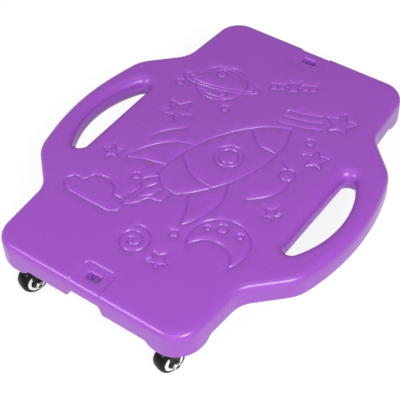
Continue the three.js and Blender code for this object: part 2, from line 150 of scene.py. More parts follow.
# Meshes
FILLER_STEP, FILLER_GAP = 12.0, 3.0
ROW_GAP, LOOSE_GAP = 0.25, 0.5
TAB_ROW_STEP, LOW_ROW_STEP = 3, 4
BOSS_SIDES, RECESS_SIDES, PILOT_SIDES, VENT_SIDES = 96, 32, 16, 24
SAME_PLACE, NO_AREA = 1e-5, 1e-9
MERGED_METRES, DEGENERATE_METRES = 2e-6, 1e-7
SHARP_ANGLE = math.radians(40.0)
SIGNS = ((-1, -1), (-1, 1), (1, -1), (1, 1))


def unit(angles):
    """Unit vectors in the plan at the angles."""
    return np.column_stack([np.cos(angles), np.sin(angles)])


def degrees(start, end, count):
    """Evenly spaced angles between two that are given in degrees."""
    return np.radians(np.linspace(start, end, count))


def bend(cx, cy, radius, start, end, step):
    """Points of an arc and their outward directions; a negative radius bends inwards."""
    count = max(2, math.ceil(abs(radius * (end - start)) / step))
    normals = unit(np.linspace(start, end, count + 1))
    return np.array([cx, cy]) + radius * normals, normals


def bend_centre(x, y, radius, start, end):
    """Centre of the arc that rounds a corner between two straight sides of given outward angles."""
    tangent = radius * math.tan((end - start) / 2)
    along = start + math.pi / 2
    return (
        x - tangent * math.cos(along) - radius * math.cos(start),
        y - tangent * math.sin(along) - radius * math.sin(start),
    )


def chained(arcs, step):
    """Arcs in order, with points along the straight stretches between them."""
    points, normals = [], []
    for arc_points, arc_normals in arcs:
        skip = 0
        if points:
            a, b = points[-1], arc_points[0]
            length = np.hypot(*(b - a))
            count = math.ceil(length / step)
            for i in range(1, count):
                points.append(a + (b - a) * i / count)
                normals.append(normals[-1])
            skip = int(length < 1e-6)
        points.extend(arc_points[skip:])
        normals.extend(arc_normals[skip:])
    return np.array(points), np.array(normals)


def deck_outline():
    """The whole outline counter-clockwise, with outward directions, from one quarter mirrored."""
    side_angle = math.atan2(NECK_X - END_HALF_WIDTH, HALF_LENGTH - NECK_Y)
    normal = np.array([math.cos(FLANK_ANGLE), math.sin(FLANK_ANGLE)])
    along = np.array([-normal[1], normal[0]])
    wing_centre = WING_HALF_WIDTH - WING_RADIUS
    start = np.array([NECK_X, NECK_Y]) - SHOULDER_RADIUS * normal - [wing_centre, 0]
    b = start @ along
    reach = -b - math.sqrt(b * b - start @ start + (WING_RADIUS - SHOULDER_RADIUS) ** 2)
    shoulder = start + [wing_centre, 0] + reach * along
    shoulder_angle = math.atan2(shoulder[1], shoulder[0] - wing_centre)
    neck = bend_centre(NECK_X, NECK_Y, -NECK_RADIUS, FLANK_ANGLE, side_angle)
    corner = bend_centre(END_HALF_WIDTH, HALF_LENGTH, END_CORNER, side_angle, math.pi / 2)
    upwards = np.array([[0.0, 1.0]])
    tab_marks = [TAB_HALF_WIDTH + d for d, _ in TAB_EDGE]
    notch_marks = [NOTCH_HALF_WIDTH + d for d, _ in NOTCH_EDGE]
    end_marks = sorted({*tab_marks, *notch_marks, *END_FILL}, reverse=True)
    end_marks = [x for i, x in enumerate(end_marks) if i == 0 or end_marks[i - 1] - x > MARK_GAP]
    pieces = [
        bend(wing_centre, 0, WING_RADIUS, 0, shoulder_angle, OUTLINE_STEP),
        bend(*shoulder, SHOULDER_RADIUS, shoulder_angle, FLANK_ANGLE, OUTLINE_STEP),
        bend(*neck, -NECK_RADIUS, FLANK_ANGLE, side_angle, NECK_STEP),
        bend(*corner, END_CORNER, side_angle, math.pi / 2, CORNER_STEP),
    ]
    pieces += [(np.array([[x, HALF_LENGTH]]), upwards) for x in end_marks]
    points, normals = chained(pieces, OUTLINE_STEP)
    quarters = []
    for sx, sy in ((1, 1), (-1, 1), (-1, -1), (1, -1)):
        quarter = np.hstack([points, normals]) * [sx, sy, sx, sy]
        quarters.append(quarter if sx == sy else quarter[::-1][1:-1])
    return np.hsplit(np.vstack(quarters), 2)


def slot_outline(side):
    """A hand slot's narrowest outline, counter-clockwise, with directions into the plastic."""
    centre = SLOT_OUTER - SLOT_BOW
    x = SLOT_INNER + SLOT_CORNER
    y = math.sqrt((SLOT_BOW - SLOT_CORNER) ** 2 - (x - centre) ** 2)
    angle = math.atan2(y, x - centre)
    arcs = [
        bend(centre, 0, SLOT_BOW, -angle, angle, SLOT_STEP),
        bend(x, y, SLOT_CORNER, angle, math.pi, SLOT_CORNER_STEP),
        bend(x, -y, SLOT_CORNER, math.pi, 2 * math.pi - angle, SLOT_CORNER_STEP),
    ]
    return [rows[:-1][::side] * [side, 1] for rows in chained(arcs, SLOT_STEP)]


def box_distance(points, cx, cy, half_x, half_y, corner):
    """Signed distance to a rectangle with rounded corners, negative inside."""
    q = np.abs(points - [cx, cy]) - [half_x - corner, half_y - corner]
    outside = np.hypot(*np.maximum(q, 0).T)
    return outside + np.minimum(q.max(axis=1), 0) - corner


def box_outline(cx, cy, half_x, half_y, corner, step):
    """A rectangle with rounded corners, counter-clockwise, with outward directions."""
    hx, hy = half_x - corner, half_y - corner
    arcs = []
    for sx, sy, start in ((1, 1, 0.0), (-1, 1, 0.5), (-1, -1, 1.0), (1, -1, 1.5)):
        turn = (start * math.pi, (start + 0.5) * math.pi)
        arcs.append(bend(cx + sx * hx, cy + sy * hy, corner, *turn, min(step, corner / 2)))
    points, normals = chained([*arcs, (arcs[0][0][:1], arcs[0][1][:1])], step)
    return points[:-1], normals[:-1]


def box_row(cx, cy, half_x, half_y, corner, grow, step):
    """A closed row of points at a distance outside a rounded rectangle, or inside where grow is below 0."""
    return box_outline(cx, cy, half_x + grow, half_y + grow, max(corner + grow, 0.3), step)[0]


def profile(distance, edge):
    """Height along an edge profile, given as (distance, height) pairs from outside to inside."""
    d, h = np.array(edge).T
    return np.interp(-distance, -d, h)


# Picture lines, in the deck's plan, as open or closed chains of points.
def spaced(points, closed=False, step=GROOVE_STEP):
    """Points at even spacing along a chain."""
    points = np.array(points, float)
    if closed:
        points = np.vstack([points, points[:1]])
    length = np.concatenate([[0], np.cumsum(np.hypot(*np.diff(points, axis=0).T))])
    count = max(2, round(length[-1] / step))
    at = np.linspace(0, length[-1], count + 1)
    return np.column_stack([np.interp(at, length, points[:, i]) for i in (0, 1)])


def curve(points, closed=False):
    """A smooth curve through the points."""
    p = np.array(points, float)
    p = np.vstack([p[-1:], p, p[:2]] if closed else [2 * p[:1] - p[1:2], p, 2 * p[-1:] - p[-2:-1]])
    t = np.linspace(0, 1, CURVE_POINTS, endpoint=False)[:, None]
    out = [
        0.5 * (2 * b + (c - a) * t + (2 * a - 5 * b + 4 * c - d) * t**2 + (3 * b - a - 3 * c + d) * t**3)
        for a, b, c, d in zip(p, p[1:], p[2:], p[3:])
    ]
    if not closed:
        out.append(p[-2:-1])
    return spaced(np.vstack(out), closed)


def oval(cx, cy, rx, ry=None, turn=0.0, start=0.0, end=360.0):
    """An arc of an oval, its angles in degrees."""
    return spaced(placed(unit(degrees(start, end, OVAL_POINTS)) * [rx, ry or rx], (cx, cy), turn))


def placed(points, to, turn=0.0, scale=1.0):
    """Points turned by some degrees, scaled and moved."""
    c, s = math.cos(math.radians(turn)), math.sin(math.radians(turn))
    return scale * np.array(points, float) @ np.array([[c, s], [-s, c]]) + to


def star(cx, cy, radius, turn=0.0):
    """A five-pointed star with rounded points."""
    angles = np.radians(90 + turn + 36 * np.arange(10))
    radii = np.where(np.arange(10) % 2 == 0, radius, radius * STAR_INNER)
    corners = [cx, cy] + radii[:, None] * unit(angles)
    points = []
    for i, corner in enumerate(corners):
        before, after = corners[i - 1], corners[(i + 1) % 10]
        keep = STAR_TIP if i % 2 == 0 else STAR_NOTCH
        t = np.linspace(0, 1, 7)[:, None]
        a, b = corner + (before - corner) * keep, corner + (after - corner) * keep
        points.append((1 - t) ** 2 * a + 2 * t * (1 - t) * corner + t**2 * b)
    return spaced(np.vstack(points), closed=True)


def rocket():
    """A rocket pointing up, 200 long, about its own middle."""
    right = curve([(0, 98), (17, 78), (30, 44), (34, 4), (28, -34), (19, -58)])
    fin = curve([(33, -2), (52, -22), (60, -50), (58, -74), (44, -60), (25.5, -46)])
    half_flame = [(-14, -60), (-19, -76), (-9, -84), (-7, -100)]
    flame = [*half_flame, (0, -112), *[(-x, y) for x, y in half_flame[::-1]]]
    return [
        right, right * [-1, 1], curve([(-19, -58), (0, -63), (19, -58)]),
        curve([(-22, 62), (0, 55), (22, 62)]), oval(0, 18, 16), oval(0, 18, 10.5),
        curve([(-30.5, -22), (0, -29), (30.5, -22)]), fin, fin * [-1, 1],
        curve(flame), curve([(-5, -68), (-6, -80), (0, -92), (6, -80), (5, -68)]),
    ]


def cloud(cx, cy, scale):
    """A cloud of three bumps, 100 wide at scale 1."""
    points = [(-40, -14), (-50, -2), (-42, 12), (-28, 13), (-20, 28), (0, 33), (17, 24), (24, 13), (40, 12),
              (50, 0), (42, -14), (20, -16), (-20, -16)]
    return curve(placed(points, (cx, cy), 0, scale), closed=True)


def satellite():
    """A small satellite about its own middle: a body, a dish and two panels."""
    lines = [spaced([(-7, -9), (7, -9), (7, 9), (-7, 9)], closed=True), curve([(-6, 15), (0, 11), (6, 15)])]
    for side in (-1, 1):
        lines.append(spaced([(side * 12, -6), (side * 34, -6), (side * 34, 6), (side * 12, 6)], closed=True))
        lines += [spaced([(side * 7, 0), (side * 12, 0)]), spaced([(side * 23, -6), (side * 23, 6)])]
    return lines


def picture():
    """A generic space scene: a rocket, a ringed planet, a moon, a comet, a cloud and stars."""
    planet, moon, orbit = (-80, 140), (98, -122), (8, -4, 108, 62, 12)
    tails = [
        curve([(88 - 0.4 * shift, 146 + shift), (66 - 0.4 * shift, 137 + shift), (36, 130 + 1.1 * shift)])
        for shift in (-13, 0, 13)
    ]
    turns = np.linspace(0.6, 4.6 * math.pi, 150)
    stars = ((-98, 56, 25, -10), (120, 78, 20, 20), (50, -188, 16, -14), (-124, -64, 15, 25), (126, -40, 13))
    dots = ((96, 104), (-134, 108), (40, -140), (-44, 96), (-66, -84))
    return [
        *[spaced(placed(line, (8, -4), -24, 1.3)) for line in rocket()],
        oval(*planet, 38, start=206, end=382), oval(*planet, 38, start=26, end=174),
        oval(*planet, 60, 16, 14, 148, 392), oval(*planet, 50, 10, 14, 158, 382),
        oval(-92, 158, 8), oval(-66, 122, 5.5),
        curve([(-104, 168), (-80, 172), (-53, 165)]), curve([(-106, 112), (-80, 109), (-52, 115)]),
        oval(*moon, 42, start=-38, end=218), oval(moon[0], moon[1] - 32.7, 33.4, start=8, end=172),
        oval(88, -98, 7), oval(115, -97, 4.5), oval(71, -108, 4),
        star(112, 160, 24, 12), *tails, cloud(-94, -142, 0.98),
        oval(*orbit, 128, 166), oval(*orbit, -50, 4), oval(104, 32, 11), oval(*orbit, 22, 36),
        *[spaced(placed(line, (14, 190), 28)) for line in satellite()],
        spaced([2, -178] + 1.75 * turns[:, None] * unit(turns)),
        *[star(*values) for values in stars],
        *[oval(*dot, 6) for dot in dots],
    ]


class Grooves:
    """Distance to the nearest picture line, and rows of points that follow the lines."""

    def __init__(self, lines):
        self.lines = lines
        self.points = np.vstack(lines)
        starts = np.cumsum([0] + [len(line) for line in lines])
        self.first = set(starts[:-1])
        self.last = set(starts[1:] - 1)
        self.tree = KDTree(len(self.points))
        for i, (x, y) in enumerate(self.points):
            self.tree.insert((x, y, 0), i)
        self.tree.balance()

    def distance(self, x, y):
        """Distance to the nearest line, only roughly where that is far."""
        _, index, near = self.tree.find((x, y, 0))
        if near > FILLER_STEP:
            return near
        best = near
        here = np.array([x, y])
        for a, at_end in ((index - 1, self.first), (index, self.last)):
            if index in at_end:
                continue
            p, q = self.points[a], self.points[a + 1]
            t = min(max((here - p) @ (q - p) / ((q - p) @ (q - p) + 1e-12), 0), 1)
            best = min(best, float(np.hypot(*(p + t * (q - p) - here))))
        return best

    def rows(self):
        """Points beside the lines, none nearer to another than the spacing."""
        taken, kept = {}, []
        cell = GROOVE_SPACING

        def free(x, y):
            i, j = int(x // cell), int(y // cell)
            near = [p for di in (-1, 0, 1) for dj in (-1, 0, 1) for p in taken.get((i + di, j + dj), ())]
            if any((px - x) ** 2 + (py - y) ** 2 < cell * cell for px, py in near):
                return False
            taken.setdefault((i, j), []).append((x, y))
            return True

        for offset in GROOVE_ROWS:
            for line in self.lines:
                tangent = np.gradient(line, axis=0)
                tangent /= np.hypot(*tangent.T)[:, None] + 1e-9
                normal = np.column_stack([-tangent[:, 1], tangent[:, 0]])
                for side in (1, -1) if offset else (1,):
                    for x, y in line + side * offset * normal:
                        if abs(self.distance(x, y) - offset) < GROOVE_TOLERANCE and free(x, y):
                            kept.append((x, y))
        return np.array(kept)


# Plan triangulation
def inside(points, loop):
    """Which points lie inside a closed loop."""
    a, b = loop, np.roll(loop, -1, axis=0)
    found = np.zeros(len(points), bool)
    for (ax, ay), (bx, by) in zip(a, b):
        if ay == by:
            continue
        crosses = (points[:, 1] < ay) != (points[:, 1] < by)
        found ^= crosses & (points[:, 0] < ax + (points[:, 1] - ay) * (bx - ax) / (by - ay))
    return found


def edge_gap(points, loop):
    """Distance of each point to a closed loop."""
    best = np.full(len(points), 1e9)
    for p, q in zip(loop, np.roll(loop, -1, axis=0)):
        d = q - p
        t = np.clip((points - p) @ d / (d @ d), 0, 1)
        best = np.minimum(best, np.hypot(*(p + t[:, None] * d - points).T))
    return best


def field(loops, rows, loose, height, upwards):
    """Triangles of a height field over the plan: the first loop is its edge, the others are holes.
    rows are chains that edges follow, loose are points alone, and height gives z at points."""
    plan = [loop[:, :2] for loop in loops]
    points, edges = [], []

    def add(chain, closed):
        start = len(points)
        points.extend(map(tuple, chain))
        edges.extend((start + i, start + i + 1) for i in range(len(chain) - 1))
        if closed:
            edges.append((start + len(chain) - 1, start))

    def within(chain):
        return inside(chain, plan[0]) & ~np.any([inside(chain, hole) for hole in plan[1:]], axis=0)

    def allowed(chain, gap):
        return within(chain) & np.all([edge_gap(chain, loop) > gap for loop in plan], axis=0)

    for loop in plan:
        add(loop, True)
    fixed = len(points)
    for chain, closed in rows:
        good = allowed(chain, ROW_GAP)
        if good.all():
            add(chain, closed)
            continue
        shift = -int(np.argmin(good)) if closed else 0
        part = []
        for point, ok in [*zip(np.roll(chain, shift, axis=0), np.roll(good, shift)), (None, False)]:
            if ok:
                part.append(point)
            elif part:
                add(part, False)
                part = []
    if len(loose):
        points.extend(map(tuple, loose[allowed(loose, LOOSE_GAP)]))
    found = delaunay_2d_cdt([Vector(p) for p in points], edges, [], 0, SAME_PLACE)
    flat = np.array([tuple(v) for v in found[0]])
    faces = np.array([tuple(f) for f in found[2]])
    faces = faces[within(flat[faces].mean(axis=1))]
    z = height(flat)
    rim = np.vstack(loops)
    for new, olds in enumerate(found[3]):
        for old in olds:
            if old < fixed:
                flat[new] = rim[old, :2]
                z[new] = rim[old, 2]
    a, b, c = (flat[faces[:, i]] for i in range(3))
    turn = (b[:, 0] - a[:, 0]) * (c[:, 1] - a[:, 1]) - (b[:, 1] - a[:, 1]) * (c[:, 0] - a[:, 0])
    flip = (turn > 0) != upwards
    faces[flip] = faces[flip][:, ::-1]
    return np.column_stack([flat, z]), faces[np.abs(turn) > NO_AREA]


def strip(rings):
    """Quads between rings of equal length, each ring counter-clockwise from above, highest ring first."""
    count = len(rings[0])
    starts = range(0, count * (len(rings) - 1), count)
    pairs = [(start + i, start + (i + 1) % count) for start in starts for i in range(count)]
    return np.vstack(rings), [(a, a + count, b + count, b) for a, b in pairs]


def lifted(plan, z):
    """Points of the plan at a height, or each at its own."""
    return np.column_stack([plan, np.broadcast_to(z, len(plan))])


def top_height(points):
    """Height of the deck's top without the picture lines."""
    return DECK_TOP - profile(box_distance(np.abs(points), *TAB_BOX), TAB_EDGE)


def boss_profile():
    """Radius and height of a corner boss, from its flat bottom out to the skirt's underside."""
    angles = degrees(0, 90, 7)
    low = [(BOSS_RADIUS - BOSS_ROUND + BOSS_ROUND * math.sin(a),
            BOSS_BOTTOM + BOSS_ROUND * (1 - math.cos(a))) for a in angles]
    high = [(BOSS_RADIUS + 0.2 + BOSS_FILLET * (1 - math.cos(a)),
             SKIRT_BOTTOM - BOSS_FILLET * (1 - math.sin(a))) for a in angles[::2]]
    return [*low, *high]


BOSS_EDGE = boss_profile()


def bottom_height(points):
    """Height of the deck's underside: skirt bottom, bosses, notches, ribs, recesses, holes and vent."""
    p = np.abs(points)
    from_boss = np.hypot(p[:, 0] - BOSS_X, p[:, 1] - BOSS_Y)
    z = np.interp(from_boss, *np.array(BOSS_EDGE).T)
    z += profile(box_distance(p, *NOTCH_BOX), NOTCH_EDGE)
    z += profile(box_distance(p, *RIB_BOX), RIB_EDGE)
    z += profile(from_boss - RIVET_RECESS, RECESS_EDGE)
    for i, j in SIGNS:
        away = np.hypot(p[:, 0] - BOSS_X - i * SCREW_X, p[:, 1] - BOSS_Y - j * SCREW_Y)
        z += profile(away - PILOT_RADIUS, PILOT_EDGE)
    return z + profile(np.hypot(*points.T) - VENT_RADIUS, VENT_EDGE)


def circle_row(cx, cy, radius, count):
    """A closed circle of points."""
    return [cx, cy] + radius * unit(np.linspace(0, 2 * math.pi, count, endpoint=False))


def circle_rows(cx, cy, radius, edge, count):
    """Rows along an edge round a circle."""
    return [circle_row(cx, cy, radius + grow, count) for grow, _ in edge]


def box_rows(box, sx, sy, edge, step):
    """Rows along an edge round a box, or round its mirror image."""
    cx, cy, *size = box
    return [box_row(sx * cx, sy * cy, *size, grow, step) for grow, _ in edge]


def bottom_rows():
    """Closed rows along every edge of the underside."""
    rows = []
    for sx, sy in SIGNS:
        x, y = sx * BOSS_X, sy * BOSS_Y
        rows += circle_rows(x, y, 0, BOSS_EDGE, BOSS_SIDES)
        rows += circle_rows(x, y, RIVET_RECESS, RECESS_EDGE, RECESS_SIDES)
        for i, j in SIGNS:
            rows += circle_rows(x + i * SCREW_X, y + j * SCREW_Y, PILOT_RADIUS, PILOT_EDGE, PILOT_SIDES)
        rows += box_rows(RIB_BOX, sx, sy, RIB_EDGE, LOW_ROW_STEP)
    for sy in (-1, 1):
        rows += box_rows(NOTCH_BOX, 1, sy, NOTCH_EDGE, LOW_ROW_STEP)
    rows += circle_rows(0, 0, VENT_RADIUS, VENT_EDGE, VENT_SIDES)
    return [(row, True) for row in rows]


def top_rows():
    """Closed rows along the edges of the two recesses."""
    return [(row, True) for sy in (-1, 1) for row in box_rows(TAB_BOX, 1, sy, TAB_EDGE, TAB_ROW_STEP)]


def smoothstep(t):
    t = np.clip(t, 0, 1)
    return t * t * (3 - 2 * t)


def rolled(points, directions, reach, rise, z, angles):
    """Rings of a rounded edge: at 0 degrees at the points and at z + rise, at 90 reach away and at z."""
    reach = np.broadcast_to(reach, len(points))
    rings = []
    for angle in angles:
        away = reach * (1 - math.cos(angle))
        rings.append(lifted(points + directions * away[:, None], z + rise * (1 - math.sin(angle))))
    return rings


def outer_wall(points, normals):
    """Rings of the deck's outer wall, from the flat top round to the underside."""
    fade = smoothstep((GRIP_NONE - np.abs(points[:, 1])) / (GRIP_NONE - GRIP_FULL))
    top_round = EDGE_ROUND + (GRIP_ROUND - EDGE_ROUND) * fade
    top = top_height(points)
    at_end = np.abs(points[:, 1]) > HALF_LENGTH - 1
    set_back = SET_BACK_SHARE * at_end * profile(np.abs(points[:, 0]) - TAB_HALF_WIDTH, TAB_EDGE)
    points = points - normals * set_back[:, None]
    in_notch = at_end * smoothstep((NOTCH_ROUND_FROM - np.abs(points[:, 0])) / NOTCH_ROUND_OVER)
    low_round = BOTTOM_ROUND + (NOTCH_ROUND - BOTTOM_ROUND) * in_notch
    bottom = bottom_height(points - normals * low_round[:, None])
    high, low = top - top_round, bottom + low_round
    rings = rolled(points, -normals, top_round, -top_round, top, degrees(90, 0, TOP_ROUND_RINGS))
    rings += [lifted(points, high + (low - high) * share) for share in WALL_SHARES]
    return rings + rolled(points, -normals, low_round, low_round, bottom, degrees(0, 90, LOW_ROUND_RINGS))


def slot_wall(points, normals):
    """Rings of a hand slot's wall, from its soft upper rim past the mould's fine bead to its lower rim."""
    on_grip = 0.5 * (1 + np.abs(normals[:, 0]) * np.sign(normals[:, 0] * points[:, 0]))
    rim = SLOT_RIM_INNER + (GRIP_RIM - SLOT_RIM_INNER) * on_grip
    depth = SLOT_RIM_DEPTH + (GRIP_RIM_DEPTH - SLOT_RIM_DEPTH) * on_grip
    rings = rolled(points, normals, rim, -depth, DECK_TOP, degrees(90, 0, TOP_RIM_RINGS))
    middle = (DECK_TOP + SKIRT_BOTTOM) / 2
    for up, out in BEAD_SECTION:
        rings.append(lifted(points - normals * BEAD_REACH * out, middle + BEAD_HEIGHT * up))
    rim = SLOT_RIM_INNER + (SLOT_RIM_OUTER - SLOT_RIM_INNER) * on_grip
    angles = degrees(0, 90, LOW_RIM_RINGS)
    return rings + rolled(points, normals, rim, SLOT_RIM_DEPTH, SKIRT_BOTTOM, angles)


def latch_wall(side):
    """Rings of a latch slot's wall through the tongue, rounded at the top and narrower below."""
    y = side * (HALF_LENGTH - LATCH_FROM_END)
    points, normals = box_outline(0, y, LATCH_HALF_X, LATCH_HALF_Y, LATCH_CORNER, LATCH_STEP)
    high, low = DECK_TOP - TAB_DEPTH, SKIRT_BOTTOM + NOTCH_HEIGHT
    rings = rolled(points, normals, LATCH_ROUND, -LATCH_ROUND, high, LATCH_ANGLES)
    for share in LATCH_SHARES:
        z = high - LATCH_ROUND + (low - high + LATCH_ROUND) * share
        rings.append(lifted(points - normals * LATCH_DRAFT * share, z))
    return rings


def filler(step, keep_from=None):
    """A grid of points over the plan, apart from those near what keep_from measures from."""
    xs = np.arange(-HALF_LENGTH, HALF_LENGTH, step)
    grid = np.array([(x, y) for x in xs for y in xs])
    if keep_from is not None:
        grid = grid[[keep_from(x, y) > FILLER_GAP for x, y in grid]]
    return grid


def joined(parts):
    """One body from several, each given as vertices and faces."""
    vertices, faces, offset = [], [], 0
    for part_vertices, part_faces in parts:
        vertices.append(part_vertices)
        faces.extend(tuple(int(i) + offset for i in face) for face in part_faces)
        offset += len(part_vertices)
    return np.vstack(vertices), faces


def mesh_object(name, vertices, faces, material, slot):
    """A mesh in metres from millimetre vertices, merged, smoothed and with its finish."""
    mesh = bpy.data.meshes.new(name)
    mesh.from_pydata((np.asarray(vertices, float) * MM).tolist(), [], [list(map(int, f)) for f in faces])
    mesh.validate()
    body = bmesh.new()
    body.from_mesh(mesh)
    bmesh.ops.remove_doubles(body, verts=body.verts, dist=MERGED_METRES)
    bmesh.ops.dissolve_degenerate(body, edges=body.edges, dist=DEGENERATE_METRES)
    bmesh.ops.recalc_face_normals(body, faces=body.faces)
    body.to_mesh(mesh)
    body.free()
    return shown(name, mesh, material, slot)


def shown(name, mesh, material, slot):
    """An object of a mesh, smoothed, with its finish and its slot."""
    mesh.materials.clear()
    mesh.materials.append(material)
    smoothed(mesh)
    made = linked(name, mesh)
    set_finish(made, slot)
    return made


def smoothed(mesh):
    mesh.shade_smooth()
    mesh.set_sharp_from_angle(angle=SHARP_ANGLE)


def linked(name, data):
    made = bpy.data.objects.new(name, data)
    bpy.context.scene.collection.objects.link(made)
    return made


def evaluated(made):
    """An object's mesh as its modifiers leave it."""
    graph = bpy.context.evaluated_depsgraph_get()
    return bpy.data.meshes.new_from_object(made.evaluated_get(graph))


def deck_moulding(material):
    """The deck as one closed body: its outer wall, top, underside and the walls of its openings."""
    wall = outer_wall(*deck_outline())
    openings = [slot_wall(*slot_outline(side)) for side in (1, -1)] + [latch_wall(side) for side in (1, -1)]
    grooves = Grooves(picture())

    def engraved(points):
        away = [grooves.distance(x, y) for x, y in points]
        return top_height(points) - np.interp(away, *np.array(GROOVE_SECTION).T)

    loose = np.vstack([grooves.rows(), filler(FILLER_STEP, grooves.distance)])
    top_loops, bottom_loops = ([rings[end] for rings in (wall, *openings)] for end in (0, -1))
    parts = [
        field(top_loops, top_rows(), loose, engraved, True),
        field(bottom_loops, bottom_rows(), filler(2 * FILLER_STEP), bottom_height, False),
        strip(wall),
    ]
    for rings in openings:
        vertices, faces = strip(rings)
        parts.append((vertices, [face[::-1] for face in faces]))
    return mesh_object("deck_moulding", *joined(parts), material, "purple_plastic")


# Casters, each drawn about its own swivel axis with the wheel trailing towards -Y
CORNERS = (("front_left", -1, -1), ("front_right", 1, -1), ("rear_left", -1, 1), ("rear_right", 1, 1))
CASTER_TURN = math.radians(-17.0)
TRAIL = 14.8
AXLE_HEIGHT = 20.9 * math.cos(math.radians(7.5))
TYRE_HALF, TYRE_BORE, TYRE_SHOULDER, TYRE_LIP = 11.0, 14.3, 15.3, 0.5
TREAD_SQUARENESS, TREAD_CROWN = 2.7, 0.46
CORE_HALF, CORE_RADIUS, CORE_RIM, CORE_WEB, CORE_BORE = 10.7, 14.1, 9.5, 5.0, 3.4
RING_FACE = CORE_HALF + 1.1
HUB_RADIUS, HUB_HALF = 6.8, 9.0
GUARD_RADIUS, GUARD_BORE, GUARD_COLLAR = 9.2, 3.6, 5.8
GUARD_FROM, GUARD_FACE, GUARD_TO = 9.3, 10.9, 12.0
DISH_OUTER, DISH_INNER, DISH_DEPTH = 8.0, 7.0, 0.7
AXLE_RADIUS, GAP = 3.0, 0.3
ARM_OUTSIDE, FORK_THICK, FORK_BEND = 14.6, 2.3, 4.2
CROWN_TOP, CROWN_BOTTOM, CROWN_RADIUS = 51.0, 48.6, 15.5
ARM_BACK, ARM_END, ARM_HOLE, ARM_LEAN = 9.8, 7.0, 3.3, 20.0
FORK_STEP, FORK_EASE, FORK_EASE_ANGLE = 1.2, 0.4, math.radians(50)
BEND_ROWS, BEND_ROW_POINTS, BEND_ROW_ENDS = 8, 60, (-30, 20)
BOLT_HEAD, BOLT_HEAD_THICK, BOLT_SOCKET, BOLT_SOCKET_DEPTH = 5.2, 3.2, 2.3, 1.9
NUT_CORNER, NUT_THICK, NUT_DOME, NUT_BORE, NUT_PAST_AXLE = 5.4, 5.0, 1.6, 3.25, 1.2
PLATE_HALF_X, PLATE_HALF_Y, PLATE_CORNER = 19.0, 16.5, 4.0
PLATE_THICK, PLATE_HOLE, PLATE_EASE, PLATE_STEP = 2.5, 3.3, 0.35, 1.5
PLATE_TOP = BOSS_BOTTOM - GAP
PLATE_BOTTOM = PLATE_TOP - PLATE_THICK
SCREW_SHANK, SCREW_LENGTH, SCREW_HEAD, SCREW_HEAD_HEIGHT, SCREW_HOLE = 1.9, 14.0, 3.8, 2.2, 2.5
RIVET_SHANK, RIVET_HEAD, RIVET_TOP_HEAD, RIVET_LOW_HEAD = 3.0, 6.2, 2.6, 2.2
RACE_INNER, RACE_OUTER, RACE_HALF = 5.2, 12.6, 1.4
BALL_RADIUS, BALL_RING, BALL_COUNT = 1.05, 9.2, 16
ROUND_SIDES, TYRE_SIDES, SCREW_SIDES = 72, 96, 48
FORK_HOLE_SIDES, PLATE_HOLE_SIDES, SCREW_HOLE_SIDES = 40, 32, 24


def rounded(corners, closed=False, steps=5):
    """A section of (radius, height, rounding) corners, with each rounding drawn as an arc."""
    points = []
    count = len(corners)
    for i, (x, y, size) in enumerate(corners):
        here = np.array([x, y], float)
        if size <= 0 or (not closed and i in (0, count - 1)):
            points.append(here)
            continue
        before, after = (np.array(corners[k % count][:2], float) - here for k in (i - 1, i + 1))
        a, b = before / np.hypot(*before), after / np.hypot(*after)
        half = math.acos(max(-1.0, min(1.0, float(a @ b)))) / 2
        reach = min(size / math.tan(half), 0.48 * np.hypot(*before), 0.48 * np.hypot(*after))
        radius = reach * math.tan(half)
        centre = here + (a + b) / np.hypot(*(a + b)) * radius / math.sin(half)
        start, end = here + a * reach - centre, here + b * reach - centre
        first = math.atan2(start[1], start[0])
        turn = (math.atan2(end[1], end[0]) - first + math.pi) % (2 * math.pi) - math.pi
        for k in range(steps + 1):
            angle = first + turn * k / steps
            points.append(centre + radius * np.array([math.cos(angle), math.sin(angle)]))
    return [tuple(p) for p in points]


def turned(section, closed=False, sides=ROUND_SIDES):
    """Vertices and faces of a body turned about Z. A radius may be a function of the angle."""
    angles = np.linspace(0, 2 * math.pi, sides, endpoint=False)
    rings = []
    for radius, z in section:
        r = radius(angles) if callable(radius) else np.full(sides, radius)
        rings.append(lifted(r[:, None] * unit(angles), z))
    if closed:
        rings.append(rings[0])
    return strip(rings)


def ring(corners, steps=5):
    """A ring turned about Z, of a closed section with rounded corners."""
    return turned(rounded(corners, closed=True, steps=steps), closed=True)


def hexagon(apothem, limit=math.inf):
    """Radius of a hexagon by angle, cut off by a circle."""
    sixth = math.pi / 3
    return lambda a: np.minimum(apothem / np.cos((a + sixth / 2) % sixth - sixth / 2), limit)


def cross(half_width, limit):
    """Radius of a cross-shaped driver recess by angle."""
    return lambda a: np.minimum(half_width / np.maximum(np.abs(np.sin(2 * a)) / 2, 1e-3), limit)


def on_axle(v, faces):
    """Turns a body drawn about Z so that it lies along the axle."""
    return np.column_stack([v[:, 2], v[:, 1] - TRAIL, AXLE_HEIGHT - v[:, 0]]), faces


def tyre_body():
    """A wide tyre with a crowned tread that rolls over into its sides."""
    along = np.concatenate([np.linspace(-1, -0.9, 5), np.linspace(-0.86, 0.86, 27), np.linspace(0.9, 1, 5)])
    swell = (1 - np.abs(along) ** TREAD_SQUARENESS) ** TREAD_CROWN
    tread = TYRE_SHOULDER + (AXLE_HEIGHT - TYRE_SHOULDER) * swell
    section = [(TYRE_BORE, -TYRE_HALF + TYRE_LIP), (TYRE_BORE + TYRE_LIP, -TYRE_HALF)]
    section += [(r, TYRE_HALF * a) for r, a in zip(tread, along)]
    section += [(r, -z) for r, z in section[1::-1]]
    return on_axle(*turned(section, closed=True, sides=TYRE_SIDES))


